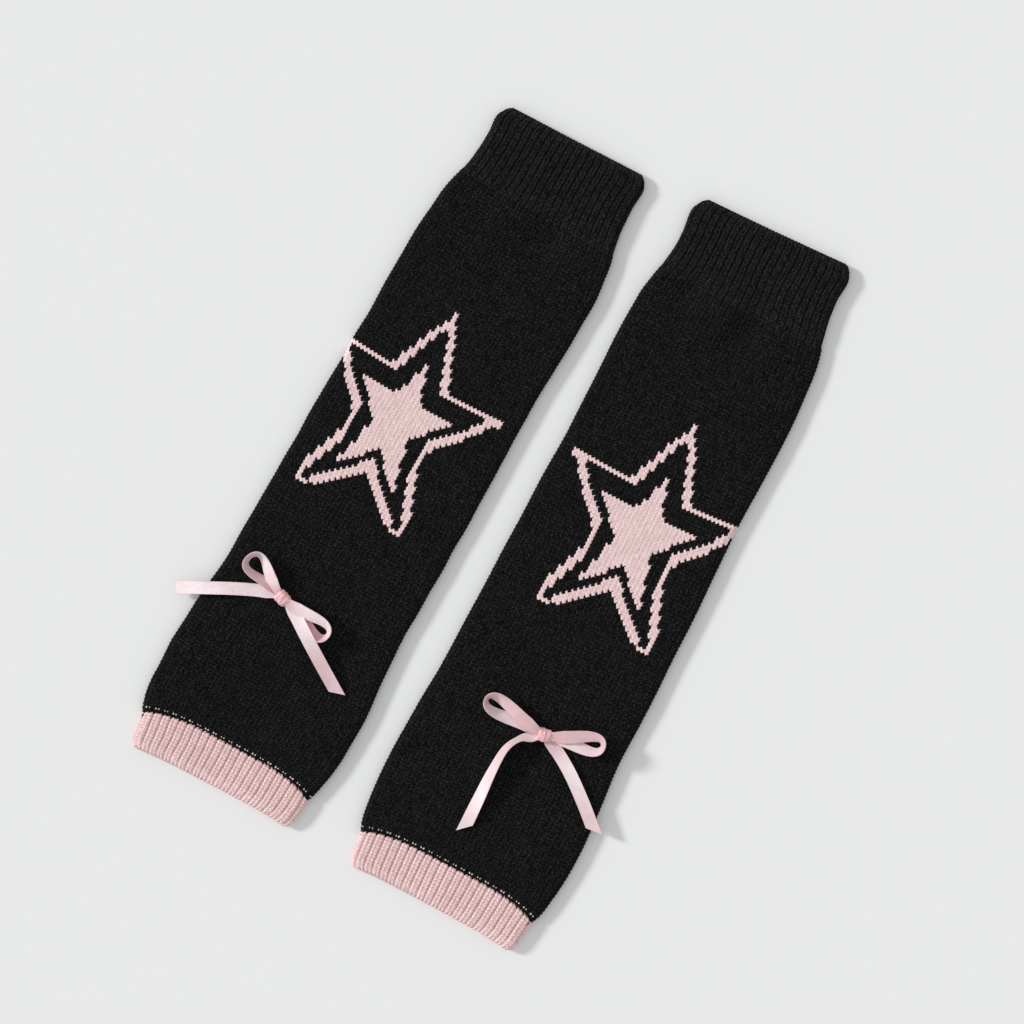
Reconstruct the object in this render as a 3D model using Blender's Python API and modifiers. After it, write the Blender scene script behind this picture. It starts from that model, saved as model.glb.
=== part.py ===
"""A pair of footless knitted leg warmers, laid flat side by side.

Each leg warmer is a flattened knitted tube in three lengths: a ribbed cuff, a plain body and a
ribbed hem. A tied ribbon bow lies on its front. The tables and sizes are in millimetres. A leg
warmer's own frame has x across it, y from its hem to its cuff, and z up from the surface that
it lies on.
"""
from collections import namedtuple
from math import cos, pi, radians, sin

import bmesh
import bpy
import numpy as np
from mathutils import Vector

MM = 0.001

# ---- the knit -----------------------------------------------------------------------------
BODY_WALL = 2.8         # one layer of the plain body
RIB_WALL = 2.6          # one layer of cuff or hem, measured in a groove
SLIT = 0.6              # what is left open between the two layers
FOLD_REACH = 4.4        # how far in from the side the folded edge rounds over
INNER_FOLD_REACH = 1.8
RIB_RAISE = 0.9         # how far a rib stands out of its grooves
CREST_START, CREST_END = 0.28, 0.72     # where a rib's flat crest lies in its pitch
CUFF_RIBS = 25          # over the front and both folds
HEM_RIBS = 25
BODY_STATIONS = 27      # facets over the body's front and both folds
UNDER_STATIONS = 8      # points across the plain underside
SEAM_GAP = 0.3
EDGE_THINNING = 0.8     # how much lower the front lies at a tube's free edge
CORNER_POWER = 4        # how late a seam bends towards the folded edges

# ---- the ribbon ---------------------------------------------------------------------------
RIBBON_WIDTH = 7.0
RIBBON_THICK = 1.0
GATHERED_WIDTH = 4.9    # of a loop where it runs into the knot
LOOP_STATIONS = 26
WIDEST_BULGE = 0.77     # the most that the bulge's two sines come to
TAIL_STATIONS = 14
KNOT_LENGTH = 9.0
KNOT_WIDTH = 8.2
KNOT_HEIGHT = 4.8
KNOT_CLEAR = 0.7        # between the knot and the ribbon ends that run into it
CLOTH_CLEAR = 0.35      # under anything that lies on the knit

# ---- placing ------------------------------------------------------------------------------
PAIR_SPACING = 137.7    # from one hem's middle to the other's
PAIR_OFFSET = -0.5
LEFT_TURN = radians(-1.3)
RIGHT_TURN = radians(1.2)

# A ring of the tube: its distance from the hem, half its width, how far its middle lies to the
# right, how far its middle runs ahead of its folded edges, and how far its right edge runs
# ahead of its middle.
Ring = namedtuple("Ring", "along half_width middle lead skew")
# A soft fold: its place, its reach each way, its turn in degrees and its rise (or, below zero,
# its depth).
Fold = namedtuple("Fold", "across along reach_across reach_along turn rise")
# A station of a ribbon tail: its place, the free height under it and its roll in degrees.
Tail = namedtuple("Tail", "across along lift roll")
# A ribbon loop: where it points in degrees, its length from the knot's middle, half its
# opening, and the side that its upper run bulges to.
Loop = namedtuple("Loop", "heading length opening side twist")
# A station of a loop: its roll in degrees and its height. The rows are evenly spaced round it.
Twist = namedtuple("Twist", "roll height")

LEFT_HEM = [
    Ring(0.0, 47.2, 0.6, 1.5, 1.6),
    Ring(2.4, 48.3, 0.6, 2.2, 1.6),
    Ring(10.0, 49.6, 0.5, 4.2, 1.5),
    Ring(19.2, 50.9, 0.0, 6.6, 1.4),
]
LEFT_BODY = [
    Ring(19.2, 52.0, -0.2, 6.6, 1.4),
    Ring(26.0, 53.5, -0.4, 5.2, 1.2),
    Ring(35.0, 55.1, -0.3, 3.6, 0.9),
    Ring(48.0, 56.2, -0.1, 1.6, 0.5),
    Ring(62.0, 56.6, 0.0, 0.4, 0.1),
    Ring(80.0, 55.8, -0.1, 0.0, 0.0),
    Ring(98.0, 54.3, -0.2, 0.0, 0.0),
    Ring(114.0, 52.9, -0.3, 0.0, 0.0),
    Ring(140.0, 52.8, -0.4, 0.0, 0.0),
    Ring(175.0, 52.6, -0.3, 0.0, 0.0),
    Ring(210.0, 52.5, -0.6, 0.0, 0.0),
    Ring(240.0, 51.9, -0.8, 0.0, 0.0),
    Ring(262.0, 51.6, -0.9, 0.0, 0.0),
    Ring(285.0, 51.9, -0.7, 0.0, 0.0),
    Ring(308.0, 52.3, -0.4, 0.0, 0.0),
    Ring(322.0, 52.1, -0.1, 0.0, 0.0),
    Ring(334.0, 51.5, 0.1, 0.0, 0.0),
    Ring(343.0, 50.7, 0.2, 0.0, 0.0),
    Ring(351.0, 49.4, 0.3, 0.0, 0.0),
    Ring(358.4, 47.7, 0.3, 0.0, 0.0),
]
LEFT_CUFF = [
    Ring(358.4, 47.6, 0.3, 0.0, 0.0),
    Ring(365.0, 46.0, 0.3, 0.0, 0.1),
    Ring(372.0, 44.9, 0.1, 0.0, 0.3),
    Ring(384.0, 44.2, -0.1, 0.0, 0.9),
    Ring(398.5, 44.0, -0.1, 0.0, 1.6),
    Ring(402.6, 42.0, 0.0, 0.0, 1.7),
]
RIGHT_HEM = [
    Ring(-0.3, 48.6, -0.5, 1.5, -1.1),
    Ring(2.2, 49.8, -0.5, 2.2, -1.1),
    Ring(10.0, 51.2, -0.5, 4.0, -1.0),
    Ring(19.4, 52.6, -0.5, 6.2, -0.8),
]
RIGHT_BODY = [
    Ring(19.4, 53.7, -0.6, 6.2, -0.8),
    Ring(26.0, 55.4, -0.4, 5.0, -0.7),
    Ring(35.0, 56.9, -0.3, 3.4, -0.5),
    Ring(48.0, 58.1, -0.1, 1.5, -0.3),
    Ring(62.0, 58.4, 0.0, 0.4, -0.1),
    Ring(80.0, 57.8, -0.3, 0.0, 0.0),
    Ring(98.0, 57.0, -0.5, 0.0, 0.0),
    Ring(114.0, 55.7, -0.6, 0.0, 0.0),
    Ring(140.0, 55.5, -0.2, 0.0, 0.0),
    Ring(175.0, 55.1, -0.1, 0.0, 0.0),
    Ring(210.0, 54.5, 0.0, 0.0, 0.0),
    Ring(240.0, 53.9, -0.3, 0.0, 0.0),
    Ring(262.0, 53.4, 0.0, 0.0, 0.0),
    Ring(285.0, 53.6, 0.1, 0.0, 0.0),
    Ring(308.0, 53.9, 0.3, 0.0, 0.0),
    Ring(328.0, 53.8, 0.1, 0.0, 0.0),
    Ring(341.0, 53.2, -0.1, 0.0, 0.0),
    Ring(350.0, 52.6, -0.2, 0.0, 0.0),
    Ring(358.0, 51.3, -0.1, 0.0, 0.0),
    Ring(366.3, 49.4, -0.3, 0.0, 0.0),
]
RIGHT_CUFF = [
    Ring(366.3, 49.3, -0.3, 0.0, 0.0),
    Ring(373.0, 47.9, -0.4, 0.0, 0.1),
    Ring(380.0, 46.6, -0.9, 0.0, 0.4),
    Ring(390.0, 46.0, -1.3, 0.0, 1.0),
    Ring(407.4, 46.0, -1.4, 0.0, 1.6),
    Ring(411.8, 43.9, -1.2, -0.4, 1.7),
]

LEFT_FOLDS = [
    Fold(-12.0, 334.0, 8.0, 26.0, 4.0, 0.9),
    Fold(-27.0, 353.0, 10.0, 8.0, 0.0, -1.0),
    Fold(12.0, 347.0, 10.0, 14.0, 0.0, -1.1),
    Fold(-20.0, 62.0, 14.0, 20.0, 0.0, 0.6),
    Fold(-3.0, 84.0, 7.0, 26.0, 30.0, -0.6),
    Fold(9.0, 36.0, 6.0, 13.0, -14.0, -1.0),
]
RIGHT_FOLDS = [
    Fold(9.5, 350.0, 7.0, 18.0, -10.0, -1.2),
    Fold(-30.0, 362.0, 10.0, 7.0, 0.0, -0.8),
    Fold(-6.0, 348.0, 8.0, 16.0, 0.0, 0.7),
    Fold(41.0, 215.0, 8.0, 42.0, 0.0, 0.5),
    Fold(-18.0, 62.0, 16.0, 22.0, 0.0, 0.4),
    Fold(20.0, 46.0, 8.0, 16.0, -14.0, -0.6),
]

# The upper run leaves the knot over the lower one. The ribbon rolls on edge as it rounds the
# tip, and comes back turned over.
OPEN_TWIST = [
    Twist(0.0, 3.7),
    Twist(12.0, 4.6),
    Twist(30.0, 5.8),
    Twist(82.0, 5.0),
    Twist(124.0, 4.3),
    Twist(160.0, 3.2),
    Twist(180.0, 2.4),
]
# The same, with the lower run flat on the knit where a tail crosses over it.
CROSSED_TWIST = [
    Twist(0.0, 4.0),
    Twist(12.0, 5.2),
    Twist(30.0, 5.8),
    Twist(82.0, 4.8),
    Twist(162.0, 2.2),
    Twist(178.0, 1.3),
    Twist(180.0, 1.1),
]

LEFT_KNOT = (-15.4, 109.4, -14.0)       # across, along, turn in degrees
LEFT_LOOPS = {
    "loop_a": Loop(158.0, 27.6, 4.2, -1, OPEN_TWIST),
    "loop_b": Loop(-10.5, 31.8, 4.4, 1, CROSSED_TWIST),
}
# Each tail: how far its left edge is cut longer than its right one, and its stations.
LEFT_TAILS = {
    "tail_a": (0.0, [
        Tail(-21.0, 109.2, 0.4, 0.0),
        Tail(-30.0, 105.8, 0.5, 0.0),
        Tail(-42.0, 100.0, 1.2, 4.0),
        Tail(-55.0, 93.0, 0.8, 4.0),
        Tail(-68.7, 85.6, -2.4, 0.0),
    ]),
    "tail_b": (6.0, [
        Tail(-9.7, 107.7, 1.9, 0.0),
        Tail(-3.0, 103.7, 2.9, 0.0),
        Tail(7.0, 97.3, 5.0, 0.0),
        Tail(20.0, 89.0, 3.7, 0.0),
        Tail(35.6, 79.2, 0.4, 0.0),
    ]),
}
RIGHT_KNOT = (11.0, 112.4, 8.0)
RIGHT_LOOPS = {
    "loop_a": Loop(175.0, 36.8, 4.1, -1, OPEN_TWIST),
    "loop_b": Loop(16.5, 32.4, 4.2, 1, OPEN_TWIST),
}
RIGHT_TAILS = {
    "tail_a": (-6.4, [
        Tail(5.6, 108.4, 0.4, 4.0),
        Tail(0.2, 103.6, 0.6, 46.0),
        Tail(-3.0, 96.0, 1.2, 38.0),
        Tail(-4.1, 82.0, 1.2, 20.0),
        Tail(-4.3, 66.0, 0.8, 8.0),
        Tail(-4.2, 48.0, 0.4, 0.0),
    ]),
    "tail_b": (6.4, [
        Tail(15.6, 109.8, 0.4, 0.0),
        Tail(22.0, 107.2, 0.5, 0.0),
        Tail(33.0, 100.2, 1.6, 0.0),
        Tail(46.0, 89.8, 1.4, 0.0),
        Tail(58.8, 78.4, 0.4, 0.0),
    ]),
}

# A leg warmer: its rings, folds and bow, and where its hem's middle lies.
LegWarmer = namedtuple("LegWarmer", "name hem body cuff folds knot loops tails place turn")
PAIR = [
    LegWarmer("left", LEFT_HEM, LEFT_BODY, LEFT_CUFF, LEFT_FOLDS,
              LEFT_KNOT, LEFT_LOOPS, LEFT_TAILS, (0.0, 0.0), LEFT_TURN),
    LegWarmer("right", RIGHT_HEM, RIGHT_BODY, RIGHT_CUFF, RIGHT_FOLDS,
              RIGHT_KNOT, RIGHT_LOOPS, RIGHT_TAILS, (PAIR_SPACING, PAIR_OFFSET), RIGHT_TURN),
]

# A finish: its linear colour, roughness and metallic value.
FINISHES = {
    "black_knit": ((0.012, 0.012, 0.013), 0.92, 0.0),
    "pink_knit": ((0.76, 0.42, 0.43), 0.90, 0.0),
    "pink_satin": ((0.86, 0.58, 0.63), 0.38, 0.0),
}


def finish(name):
    """The named finish as a Principled material, made once."""
    material = bpy.data.materials.get(name)
    if material is None:
        colour, roughness, metallic = FINISHES[name]
        material = bpy.data.materials.new(name)
        material.use_nodes = True
        surface = material.node_tree.nodes["Principled BSDF"]
        surface.inputs["Base Color"].default_value = (*colour, 1.0)
        surface.inputs["Roughness"].default_value = roughness
        surface.inputs["Metallic"].default_value = metallic
        material.diffuse_color = (*colour, 1.0)
    return material


def add_object(name, mesh, material, collection, parent):
    """Put a mesh into the collection as a named object on its leg warmer's empty."""
    mesh.materials.append(finish(material))
    piece = bpy.data.objects.new(name, mesh)
    collection.objects.link(piece)
    piece.parent = parent
    return piece


def closed_mesh(name, points, faces):
    """A mesh from points in millimetres, its faces turned outwards and its round parts smooth."""
    mesh = bpy.data.meshes.new(name)
    mesh.from_pydata([Vector(point) * MM for point in points], [], faces)
    shell = bmesh.new()
    shell.from_mesh(mesh)
    bmesh.ops.recalc_face_normals(shell, faces=shell.faces)
    shell.to_mesh(mesh)
    shell.free()
    mesh.shade_smooth()
    mesh.set_sharp_from_angle(angle=radians(45))
    return mesh


# ---- the knitted tubes --------------------------------------------------------------------

def fold_rise(folds, across, along):
    """How far the front is raised or sunk by its soft folds, each a bell over its reach."""
    rise = 0.0
    for fold in folds:
        turn = radians(fold.turn)
        right = (across - fold.across) * cos(turn) + (along - fold.along) * sin(turn)
        ahead = (along - fold.along) * cos(turn) - (across - fold.across) * sin(turn)
        rise += fold.rise * np.exp(-(right / fold.reach_across) ** 2
                                   - (ahead / fold.reach_along) ** 2)
    return rise


def over_front(share, half_width, low, high, reach):
    """A point x, z of a flattened ring and its outward direction there.

    The share runs from 0, where the underside meets the left fold, up over that fold, across
    the front and down the right fold to 1. A fold is half an ellipse.
    """
    half_height = (high - low) / 2
    fold_length = pi * ((reach ** 2 + half_height ** 2) / 2) ** 0.5
    flat = half_width - reach
    distance = share * (2 * fold_length + 2 * flat)
    from_end = min(distance, 2 * fold_length + 2 * flat - distance)
    side = -1 if share < 0.5 else 1
    if from_end >= fold_length:
        return distance - fold_length - flat, high, 0.0, 1.0
    angle = pi * from_end / fold_length - pi / 2
    return (side * (flat + reach * cos(angle)), low + half_height * (1 + sin(angle)),
            side * cos(angle), sin(angle))


def front_shares(ribs, stations):
    """Outer shares over the front, and the raise of each; three points to a rib."""
    if not ribs:
        return [(i / stations, 0.0) for i in range(stations + 1)]
    shares = []
    for i in range(ribs):
        shares += [(i / ribs, 0.0), ((i + CREST_START) / ribs, 1.0), ((i + CREST_END) / ribs, 1.0)]
    return shares + [(1.0, 0.0)]


def tube_mesh(name, rings, folds, wall, ribs, rounded_end):
    """A flattened tube: an outer and an inner skin through its rings, closed at both rims.

    The rounded end, 0 or -1, is the ring at the tube's free edge, which is a little thinner.
    """
    outer_shares = front_shares(ribs, BODY_STATIONS)
    per_facet = 3 if ribs else 1
    inner_shares = front_shares(0, ribs or BODY_STATIONS)
    thick = 2 * wall + SLIT
    points, outer_rows, inner_rows = [], [], []

    def place(ring, x, z, floor=None):
        x += ring.middle
        aside = min(1.0, abs(x - ring.middle) / ring.half_width)
        ahead = ring.lead * (1 - aside ** CORNER_POWER)
        along = ring.along + ahead + ring.skew * (x - ring.middle) / ring.half_width
        if z > thick / 2:
            lifted = z + fold_rise(folds, x, along) * (2 * z / thick - 1)
            z = lifted if floor is None else max(floor, lifted)
        points.append((x, along, z))
        return len(points) - 1

    for number, ring in enumerate(rings):
        free_edge = rounded_end is not None and number == rounded_end % len(rings)
        top = thick - EDGE_THINNING if free_edge else thick
        half_width = ring.half_width - (RIB_RAISE if ribs else 0)
        outer, inner = [], []
        for share, raised in outer_shares:
            x, z, out_x, out_z = over_front(share, half_width, 0.0, top, FOLD_REACH)
            rib = RIB_RAISE * raised * min(1.0, 1.0 + out_z)
            outer.append(place(ring, x + rib * out_x, z + rib * max(0.0, out_z)))
        for share, _ in inner_shares:
            x, z, _, _ = over_front(share, half_width - wall, wall, top - wall, INNER_FOLD_REACH)
            inner.append(place(ring, x, z, floor=wall + SLIT / 2))
        for skin, edge, reach, height in ((outer, half_width, FOLD_REACH, 0.0),
                                          (inner, half_width - wall, INNER_FOLD_REACH, wall)):
            for step in range(1, UNDER_STATIONS):
                x = (edge - reach) * (1 - 2 * step / UNDER_STATIONS)
                skin.append(place(ring, x, height))
        outer_rows.append(outer)
        inner_rows.append(inner)

    faces = []
    for rows in (outer_rows, inner_rows):
        for near, far in zip(rows, rows[1:]):
            for i, j in zip(range(len(near)), [*range(1, len(near)), 0]):
                faces.append((near[i], near[j], far[j], far[i]))
    facets = len(inner_shares) - 1
    for outer, inner in ((outer_rows[0], inner_rows[0]), (outer_rows[-1], inner_rows[-1])):
        for facet in range(facets):
            rim = outer[facet * per_facet:(facet + 1) * per_facet + 1]
            near, far = inner[facet], inner[facet + 1]
            if per_facet == 1:
                faces.append((rim[0], rim[1], far, near))
            else:
                faces += [(rim[0], rim[1], near), (rim[1], rim[2], far, near),
                          (rim[2], rim[3], far)]
        under_outer = [*outer[facets * per_facet:], outer[0]]
        under_inner = [*inner[facets:], inner[0]]
        for i in range(len(under_inner) - 1):
            faces.append((under_outer[i], under_outer[i + 1], under_inner[i + 1], under_inner[i]))
    return closed_mesh(name, points, faces)


def with_seams(rings, gap_before, gap_after):
    """The rings, with half a seam gap taken off each end that meets another tube."""
    first, last = rings[0], rings[-1]
    if gap_before:
        first = first._replace(along=first.along + SEAM_GAP / 2)
    if gap_after:
        last = last._replace(along=last.along - SEAM_GAP / 2)
    return [first, *rings[1:-1], last]


# ---- the ribbon ---------------------------------------------------------------------------

def smooth_columns(rows, count):
    """Columns of a table read along a Catmull-Rom curve through its rows, as count stations."""
    table = np.array(rows, dtype=float)
    padded = np.vstack([2 * table[0] - table[1], table, 2 * table[-1] - table[-2]])
    place = np.linspace(0, len(table) - 1, count)
    start = np.minimum(place.astype(int), len(table) - 2)
    step = (place - start)[:, None]
    before, here, after, beyond = (padded[start + shift] for shift in range(4))
    return 0.5 * (2 * here + (after - before) * step
                  + (2 * before - 5 * here + 4 * after - beyond) * step ** 2
                  + (3 * here - before - 3 * after + beyond) * step ** 3)


def ribbon_mesh(name, centres, rolls, widths, cut=0.0):
    """A ribbon along its centres: at each, a line across it is turned by the roll and set
    square to the path, and the two edges lie half the width along that line. The cut makes
    the last end slant, its left edge longer than its right one."""
    ahead = np.gradient(centres, axis=0)
    ahead /= np.linalg.norm(ahead, axis=1, keepdims=True)
    level = np.stack([-ahead[:, 1], ahead[:, 0], np.zeros(len(ahead))], axis=1)
    level /= np.linalg.norm(level, axis=1, keepdims=True)
    up = np.cross(ahead, level)
    across = level * np.cos(rolls)[:, None] + up * np.sin(rolls)[:, None]
    edges = [centres + across * (side * widths / 2)[:, None] for side in (-1, 1)]
    for side, edge in zip((-1, 1), edges):
        edge[-1, :2] += side * cut / 2 * ahead[-1, :2]
    points = np.concatenate(edges) * MM
    count = len(centres)
    faces = [(i, i + 1, count + i + 1, count + i) for i in range(count - 1)]
    mesh = bpy.data.meshes.new(name)
    mesh.from_pydata(points.tolist(), [], faces)
    mesh.shade_smooth()
    return mesh


def thicken(piece):
    """Give a ribbon its thickness, half to each side."""
    shell = piece.modifiers.new("thickness", "SOLIDIFY")
    shell.thickness = RIBBON_THICK * MM
    shell.offset = 0.0
    shell.use_even_offset = True


def front_height(warmer, across, along):
    """Height of the plain front over a point of the leg warmer's own frame."""
    return 2 * BODY_WALL + SLIT + fold_rise(warmer.folds, across, along)


def loop_mesh(name, warmer, loop):
    """A ribbon loop. Round it, the distance from the knot goes out and back as a sine, the
    sideways bulge as that sine times another twice as fast, and the twist gives the rest."""
    share = np.linspace(0, 1, LOOP_STATIONS)
    start = KNOT_LENGTH / 2 + KNOT_CLEAR
    out = start + (loop.length - start) * np.sin(pi * share)
    bulge = loop.opening * np.sin(2 * pi * share) * np.sin(pi * share) / WIDEST_BULGE
    heading = radians(loop.heading)
    side = heading + loop.side * pi / 2
    across = warmer.knot[0] + out * cos(heading) + bulge * cos(side)
    along = warmer.knot[1] + out * sin(heading) + bulge * sin(side)
    roll, height = smooth_columns(loop.twist, LOOP_STATIONS).T
    ground = front_height(warmer, warmer.knot[0], warmer.knot[1])
    centres = np.stack([across, along, ground + height], axis=1)
    widths = np.interp(out, [start, 2 * start], [GATHERED_WIDTH, RIBBON_WIDTH])
    return ribbon_mesh(name, centres, -loop.side * np.radians(roll), widths)


def tail_mesh(name, warmer, cut, rows):
    """A ribbon tail through its stations, the lift and half its rolled depth over the front."""
    across, along, lift, roll = smooth_columns(rows, TAIL_STATIONS).T
    roll = np.radians(roll)
    edge_drop = RIBBON_WIDTH / 2 * np.abs(np.sin(roll)) + RIBBON_THICK / 2
    ground = front_height(warmer, across, along)
    centres = np.stack([across, along, ground + lift + edge_drop], axis=1)
    return ribbon_mesh(name, centres, roll, np.full(len(across), RIBBON_WIDTH), cut)


def knot_mesh(name):
    """The knot's cage: a cube of the knot's size, each edge cut once."""
    cage = bmesh.new()
    bmesh.ops.create_cube(cage, size=1.0)
    bmesh.ops.subdivide_edges(cage, edges=cage.edges, cuts=1, use_grid_fill=True)
    for corner in cage.verts:
        corner.co.x *= KNOT_LENGTH * MM
        corner.co.y *= KNOT_WIDTH * MM
        corner.co.z *= KNOT_HEIGHT * MM
    mesh = bpy.data.meshes.new(name)
    cage.to_mesh(mesh)
    cage.free()
    mesh.shade_smooth()
    return mesh


def add_knot(name, warmer, collection, parent):
    """Place the knot's block over the front, turned along its loops and softened."""
    knot = add_object(name, knot_mesh(name), "pink_satin", collection, parent)
    across, along, turn = warmer.knot
    height = front_height(warmer, across, along) + CLOTH_CLEAR + KNOT_HEIGHT / 2
    knot.location = Vector((across, along, height)) * MM
    knot.rotation_euler.z = radians(turn)
    soften = knot.modifiers.new("rounding", "SUBSURF")
    soften.levels = 1
    soften.render_levels = 1


# ---- the pair -----------------------------------------------------------------------------

def add_leg_warmer(warmer, collection, pair):
    """Build one leg warmer on its own empty, turned and placed beside the other."""
    spot = bpy.data.objects.new(warmer.name + "_place", None)
    collection.objects.link(spot)
    spot.parent = pair
    spot.location = (warmer.place[0] * MM, warmer.place[1] * MM, 0.0)
    spot.rotation_euler.z = warmer.turn
    tubes = (
        ("cuff", with_seams(warmer.cuff, True, False), RIB_WALL, CUFF_RIBS, -1, "black_knit"),
        ("body", with_seams(warmer.body, True, True), BODY_WALL, 0, None, "black_knit"),
        ("hem", with_seams(warmer.hem, False, True), RIB_WALL, HEM_RIBS, 0, "pink_knit"),
    )
    for part, rings, wall, ribs, free_end, material in tubes:
        name = f"{warmer.name}_{part}"
        mesh = tube_mesh(name, rings, warmer.folds, wall, ribs, free_end)
        add_object(name, mesh, material, collection, spot)
    add_knot(warmer.name + "_bow_knot", warmer, collection, spot)
    for part, loop in warmer.loops.items():
        name = f"{warmer.name}_bow_{part}"
        thicken(add_object(name, loop_mesh(name, warmer, loop), "pink_satin", collection, spot))
    for part, (cut, rows) in warmer.tails.items():
        name = f"{warmer.name}_bow_{part}"
        mesh = tail_mesh(name, warmer, cut, rows)
        thicken(add_object(name, mesh, "pink_satin", collection, spot))


def centre_on_origin(pair, collection):
    """Move the pair so that the middle of the floor under its box is the origin."""
    bpy.context.view_layer.update()
    depsgraph = bpy.context.evaluated_depsgraph_get()
    corners = []
    for piece in collection.objects:
        if piece.type == "MESH":
            shape = piece.evaluated_get(depsgraph).to_mesh()
            corners += [piece.matrix_world @ vertex.co for vertex in shape.vertices]
    low = Vector([min(corner[axis] for corner in corners) for axis in range(3)])
    high = Vector([max(corner[axis] for corner in corners) for axis in range(3)])
    pair.location = -Vector(((low.x + high.x) / 2, (low.y + high.y) / 2, low.z))


def main():
    for leftover in list(bpy.data.objects):
        bpy.data.objects.remove(leftover)
    collection = bpy.data.collections.new("pair_of_leg_warmers")
    bpy.context.scene.collection.children.link(collection)
    pair = bpy.data.objects.new("pair", None)
    collection.objects.link(pair)
    for warmer in PAIR:
        add_leg_warmer(warmer, collection, pair)
    centre_on_origin(pair, collection)
    bpy.context.view_layer.update()


main()
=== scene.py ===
"""The looks of a pair of knitted leg warmers, laid flat side by side.

Sizes are in millimetres, in each leg warmer's own frame, as in the solids' source: x across
it, y from its hem to its cuff, z up from the floor. A wale is a column of stitches, and a row
of them runs round the tube. A stitch is a V whose point looks to the hem: each of its two legs
is a slanting strand.
"""
from collections import namedtuple
from math import cos, pi, radians, sin

import bpy
import numpy as np
from mathutils import Matrix, Vector


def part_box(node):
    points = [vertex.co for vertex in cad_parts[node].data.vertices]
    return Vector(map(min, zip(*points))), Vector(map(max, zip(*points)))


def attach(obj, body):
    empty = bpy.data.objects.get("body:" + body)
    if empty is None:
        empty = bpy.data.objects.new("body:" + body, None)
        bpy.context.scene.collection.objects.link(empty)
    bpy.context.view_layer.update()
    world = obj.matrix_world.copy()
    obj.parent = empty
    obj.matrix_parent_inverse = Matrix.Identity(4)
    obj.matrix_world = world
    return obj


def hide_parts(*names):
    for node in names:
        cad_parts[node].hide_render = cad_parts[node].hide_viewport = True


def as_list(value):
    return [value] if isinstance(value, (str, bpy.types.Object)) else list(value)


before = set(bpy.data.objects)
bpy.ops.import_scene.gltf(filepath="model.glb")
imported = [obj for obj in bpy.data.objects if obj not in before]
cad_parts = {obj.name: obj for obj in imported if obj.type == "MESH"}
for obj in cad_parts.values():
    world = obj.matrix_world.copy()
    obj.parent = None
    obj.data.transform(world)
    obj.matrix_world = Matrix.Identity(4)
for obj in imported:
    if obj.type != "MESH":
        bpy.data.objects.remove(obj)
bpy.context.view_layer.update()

MM = 0.001
chance = np.random.default_rng(7)

# ---- sizes shared with the solids ----
BODY_WALL = 2.8
RIB_WALL = 2.6
SLIT = 0.6  # between a tube's two layers
FOLD_REACH = 4.4  # how far a side fold's half ellipse bulges out
INNER_FOLD_REACH = 1.8
RIB_RAISE = 0.9
EDGE_THINNING = 0.8  # how much lower the front lies at a free edge
LEAD_POWER = 4  # how flat the middle of a curved row of stitches is
RIBBON_WIDTH = 7.0
RIBBON_HALF_DEPTH = 0.5  # half of what a ribbon's solid is thick
GATHERED_WIDTH = 4.9  # of the ribbon beside the knot
WIDEST_BULGE = 0.77  # the most that the formula of a loop's bulge gives
KNOT_LENGTH = 9.0
KNOT_WIDTH = 8.2
KNOT_HEIGHT = 4.8
KNOT_CLEAR = 0.7  # between the knot's solid and a loop's
CLOTH_CLEAR = 0.35  # between the cloth and the knot
SOLID_FOLDS = 6  # of each list of folds, the first ones, which the solids have too
LEFT_TURN = radians(-1.3)
RIGHT_TURN = radians(1.2)

Ring = namedtuple("Ring", "along half_width middle lead skew", defaults=(0, 0))
Fold = namedtuple("Fold", "across along reach_across reach_along turn rise")
Knot = namedtuple("Knot", "across along turn")
Loop = namedtuple("Loop", "heading length opening side twist")

# The rings are the solids' own, but that a body starts 0.4 mm narrower on each side, and that
# its rows are skewed where the star's arms lie.
LEFT_HEM = [Ring(*row) for row in (
    (0, 47.2, 0.6, 1.5, 1.6), (2.4, 48.3, 0.6, 2.2, 1.6), (10, 49.6, 0.5, 4.2, 1.5),
    (19.2, 50.9, 0, 6.6, 1.4))]
LEFT_BODY = [Ring(*row) for row in (
    (19.2, 51.6, -0.2, 6.6, 1.4), (26, 53.5, -0.4, 5.2, 1.2), (35, 55.1, -0.3, 3.6, 0.9),
    (48, 56.2, -0.1, 1.6, 0.5), (62, 56.6, 0, 0.4, 0.1), (80, 55.8, -0.1), (98, 54.3, -0.2),
    (114, 52.9, -0.3), (140, 52.8, -0.4), (175, 52.6, -0.3), (210, 52.5, -0.6, 0, 0.2),
    (240, 51.9, -0.8, 0, 0.8), (262, 51.6, -0.9, 0, 1), (285, 51.9, -0.7, 0, 0.5),
    (308, 52.3, -0.4), (322, 52.1, -0.1), (334, 51.5, 0.1), (343, 50.7, 0.2), (351, 49.4, 0.3),
    (358.4, 47.7, 0.3))]
LEFT_CUFF = [Ring(*row) for row in (
    (358.4, 47.6, 0.3), (365, 46, 0.3, 0, 0.1), (372, 44.9, 0.1, 0, 0.3),
    (384, 44.2, -0.1, 0, 0.9), (398.5, 44, -0.1, 0, 1.6), (402.6, 42, 0, 0, 1.7))]
RIGHT_HEM = [Ring(*row) for row in (
    (-0.3, 48.6, -0.5, 1.5, -1.1), (2.2, 49.8, -0.5, 2.2, -1.1), (10, 51.2, -0.5, 4, -1),
    (19.4, 52.6, -0.5, 6.2, -0.8))]
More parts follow.
